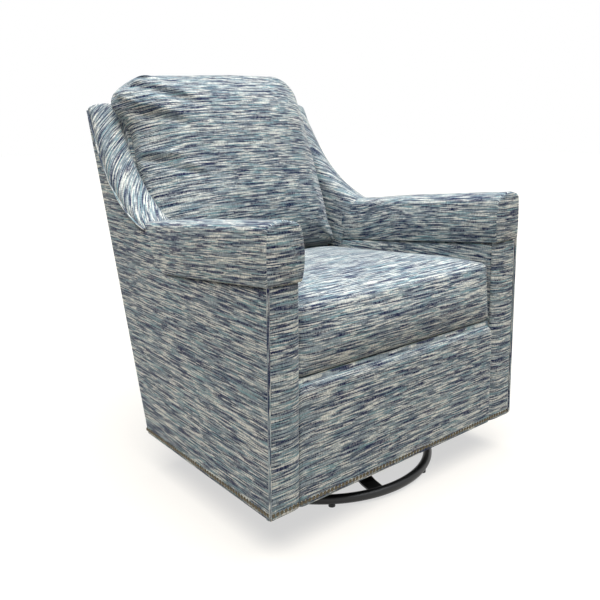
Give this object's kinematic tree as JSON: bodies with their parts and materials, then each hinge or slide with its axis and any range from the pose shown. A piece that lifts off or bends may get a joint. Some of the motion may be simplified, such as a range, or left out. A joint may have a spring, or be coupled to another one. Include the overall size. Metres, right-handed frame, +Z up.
{
  "type": "swivel glider chair",
  "caption": "Upholstered swivel glider chair with sloping padded arms, swept wings, loose seat and back cushions and a nailhead border, gliding on links above a turning ring base.",
  "frame": {"origin": "on the floor below the middle of the chair's overall width and depth", "axes": "+Z up, the front of the chair faces -Y, +X to the right seen from the front"},
  "size_m": [0.8098, 0.837, 0.9825],
  "materials": {
    "upholstery_fabric": "slubby woven upholstery cloth with short streaks of navy, slate, aqua and cream",
    "black_steel": "satin black powder coat",
    "zinc_steel": "zinc plated pressed steel",
    "bright_steel": "turned steel",
    "spring_steel": "drawn spring wire",
    "nylon": "black nylon",
    "frame_wood": "planed hardwood",
    "webbing": "elastic webbing",
    "dust_cloth": "black non-woven cloth",
    "nail_bronze": "antique bronze domed nailheads"
  },
  "bodies": {
    "floor_base": {"base_ring": "black_steel", "floor_glides": "nylon", "spider_arms": "black_steel", "hub_plate": "black_steel", "swivel_post": "bright_steel", "post_nut": "bright_steel", "lower_race": "bright_steel", "bearing_balls": "bright_steel"},
    "carriage": {"upper_race": "bright_steel", "carriage_plate": "zinc_steel", "carriage_tie_bar": "bright_steel", "upper_pivot_pins": "bright_steel", "pivot_spacers": "bright_steel", "carriage_bracket_left": "zinc_steel", "carriage_bracket_right": "zinc_steel"},
    "front_links": {"front_link_left": "zinc_steel", "front_link_right": "zinc_steel", "front_link_bushes": "nylon"},
    "rear_links": {"rear_link_left": "zinc_steel", "rear_link_right": "zinc_steel", "rear_link_bushes": "nylon"},
    "chair_body": {"arm_boards": "frame_wood", "arm_cap_left": "upholstery_fabric", "arm_cap_right": "upholstery_fabric", "arm_front_pad_left": "upholstery_fabric", "arm_front_pad_right": "upholstery_fabric", "arm_rails": "frame_wood", "back_cushion": "upholstery_fabric", "back_lower_rail": "frame_wood", "back_posts": "frame_wood", "back_top_rail": "frame_wood", "back_webbing": "webbing", "corner_blocks": "frame_wood", "dust_covers": "dust_cloth", "front_posts": "frame_wood", "front_rail": "frame_wood", "front_rail_pad": "upholstery_fabric", "front_welts": "upholstery_fabric", "glide_rail_left": "zinc_steel", "glide_rail_right": "zinc_steel", "inside_arm_pad_left": "upholstery_fabric", "inside_arm_pad_right": "upholstery_fabric", "inside_back_pad": "upholstery_fabric", "lower_pivot_pins": "bright_steel", "mount_boards": "frame_wood", "nailheads": "nail_bronze", "outside_back_panel": "upholstery_fabric", "outside_panel_left": "upholstery_fabric", "outside_panel_right": "upholstery_fabric", "rail_bolts": "bright_steel", "rear_rail": "frame_wood", "seat_cushion": "upholstery_fabric", "seat_deck": "upholstery_fabric", "seat_springs": "spring_steel", "side_rails": "frame_wood", "spring_clips": "nylon", "wing_pad_left": "upholstery_fabric", "wing_pad_right": "upholstery_fabric", "wing_welts": "upholstery_fabric"}
  },
  "joints": [
    {"name": "swivel", "type": "hinge", "parent": "floor_base", "child": "carriage", "pos_m": [0, -0.11052, 0.062], "axis": [0, 0, 1], "continuous": true},
    {"name": "rear_link_swing", "type": "hinge", "parent": "carriage", "child": "rear_links", "pos_m": [0, -0.03552, 0.238], "axis": [1, 0, 0], "range_deg": [-16, 16]},
    {"name": "body_level", "type": "hinge", "parent": "rear_links", "child": "chair_body", "pos_m": [0, -0.03552, 0.108], "axis": [1, 0, 0], "range_deg": [-16, 16]},
    {"name": "front_link_swing", "type": "hinge", "parent": "carriage", "child": "front_links", "pos_m": [0, -0.18552, 0.238], "axis": [1, 0, 0], "range_deg": [-16, 16]}
  ],
  "couplings": [
    {"joint": "body_level", "follows": "rear_link_swing", "ratio": -1},
    {"joint": "front_link_swing", "follows": "rear_link_swing", "ratio": 1}
  ]
}
